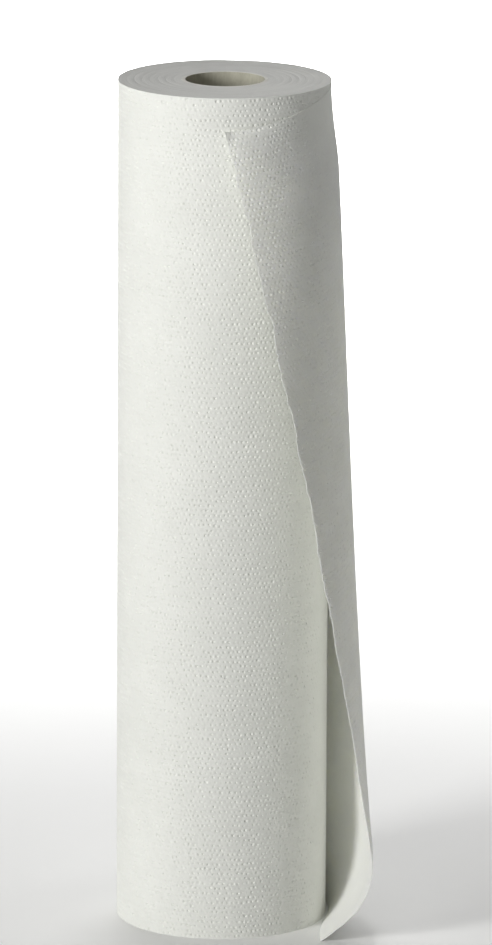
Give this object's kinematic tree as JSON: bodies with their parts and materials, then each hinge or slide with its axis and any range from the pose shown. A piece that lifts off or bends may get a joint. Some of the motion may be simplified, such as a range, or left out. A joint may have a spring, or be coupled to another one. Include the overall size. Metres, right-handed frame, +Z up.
{
  "type": "exam table paper roll",
  "caption": "Roll of embossed white couch paper wound on a cardboard core, standing on end, with its loose end peeling away down one side and tucked in at the floor.",
  "frame": {"origin": "on the axis of the core, at the end that the roll stands on", "axes": "+Z up the axis of the core, -Y towards the viewer, +X towards the side where the loose end opens"},
  "size_m": [0.1503, 0.1598, 0.5],
  "materials": {
    "core": "matte",
    "paper": "matte, embossed"
  },
  "bodies": {
    "root": {"core": "core", "paper": "paper"}
  },
  "joints": []
}
